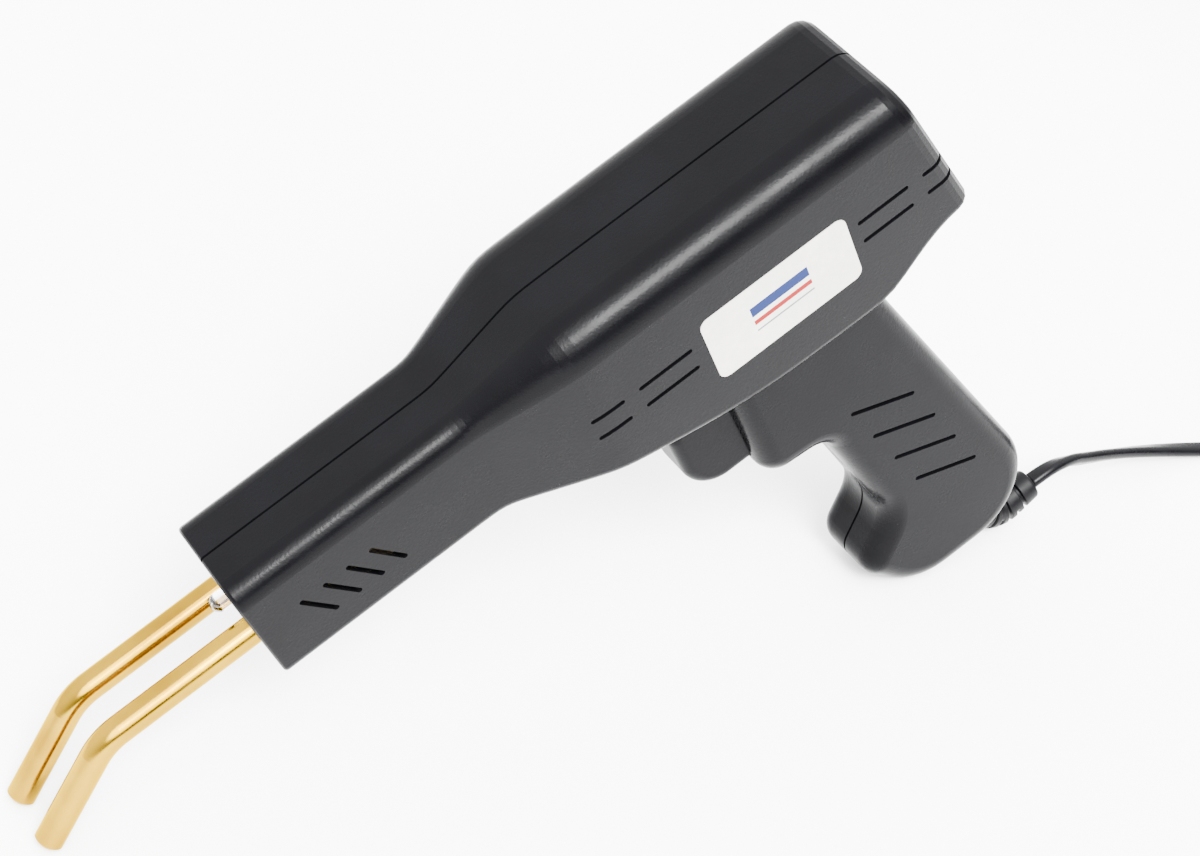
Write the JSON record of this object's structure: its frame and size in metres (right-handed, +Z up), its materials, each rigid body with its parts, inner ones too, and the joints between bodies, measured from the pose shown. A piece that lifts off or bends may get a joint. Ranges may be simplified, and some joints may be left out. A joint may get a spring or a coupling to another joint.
{
  "type": "hot stapler gun",
  "caption": "Pistol-grip hot stapler for spot welding metal staples into plastic, with bent brass electrodes, sliding trigger, transformer and coiled mains cord.",
  "frame": {"origin": "on the surface the tool stands on, under the middle of its length and width, cord left out", "axes": "+Z up, +X along the tool's length towards the grip's heel, +Y to the tool's right"},
  "size_m": [0.569, 0.0624, 0.1889],
  "materials": {
    "shell": "fine textured black plastic",
    "screw": "zinc plated steel",
    "brass": "polished",
    "rod_brass": "polished, drawn rod",
    "ceramic": "heat resistant bush",
    "fibre": "phenolic board",
    "lens": "clear resin",
    "board": "circuit board",
    "lead": "tinned",
    "trigger": "fine textured black plastic",
    "spring": "spring steel",
    "switch": "switch housing",
    "plunger": "switch plunger",
    "core": "stacked laminations",
    "band": "plated strip",
    "bobbin": "nylon",
    "enamel": "enamelled copper wire",
    "copper": "bare copper strip",
    "fuse": "sleeve",
    "wire_brown": "insulation",
    "wire_blue": "insulation",
    "wire_black": "insulation",
    "wire_red": "insulation",
    "crimp": "tinned sleeve",
    "rubber": "soft bend relief",
    "cord": "flat cord sheath",
    "tie": "tie",
    "plug": "moulded plug",
    "plug_brass": "plated pins",
    "label": "printed film without marks"
  },
  "bodies": {
    "stapler": {"bobbin": "bobbin", "clamp_set_screws": "screw", "clamp_spacer": "fibre", "coil_tie": "tie", "cord_clamp": "fibre", "cord_clamp_screws": "screw", "cord_coil": "cord", "cord_inside": "cord", "cord_tail": "cord", "core_bands": "band", "core_e_stack": "core", "core_i_stack": "core", "crimp_connectors": "crimp", "front_insulator": "fibre", "led": "lens", "led_board": "board", "led_leads": "lead", "led_wires": "wire_red", "left_clamp_block": "brass", "left_electrode": "rod_brass", "left_shell": "shell", "lever_pin": "screw", "line_wire": "wire_brown", "neutral_wire": "wire_blue", "plug_body": "plug", "plug_pins": "plug_brass", "primary_winding": "enamel", "right_clamp_block": "brass", "right_electrode": "rod_brass", "right_shell": "shell", "rod_bushes": "ceramic", "secondary_winding": "copper", "shell_screws": "screw", "side_label": "label", "strain_relief_boot": "rubber", "supply_cord": "cord", "switch_body": "switch", "switch_screws": "screw", "switch_terminals": "crimp", "switched_wire": "wire_black", "thermal_fuse": "fuse", "trigger_spring": "spring"},
    "trigger": {"trigger": "trigger"},
    "lever": {"switch_lever": "lead"},
    "plunger": {"switch_plunger": "plunger"}
  },
  "joints": [
    {"name": "trigger_slide", "type": "slide", "parent": "stapler", "child": "trigger", "axis": [0.8616, 0, 0.5075], "range_m": [0, 0.0045], "stiffness_N_per_m": 900, "springref_m": -0.003, "deforming": ["trigger_spring"]},
    {"name": "switch_lever_hinge", "type": "hinge", "parent": "stapler", "child": "lever", "pos_m": [0.05526, 0, 0.10997], "axis": [0, -1, 0], "range_deg": [0, 11.5]},
    {"name": "switch_plunger_slide", "type": "slide", "parent": "stapler", "child": "plunger", "axis": [0.8616, 0, 0.5075], "range_m": [0, 0.00125]}
  ],
  "couplings": [
    {"joint": "switch_lever_hinge", "follows": "trigger_slide", "rad_per_m": 44.2},
    {"joint": "switch_plunger_slide", "follows": "trigger_slide", "ratio": 0.27}
  ]
}
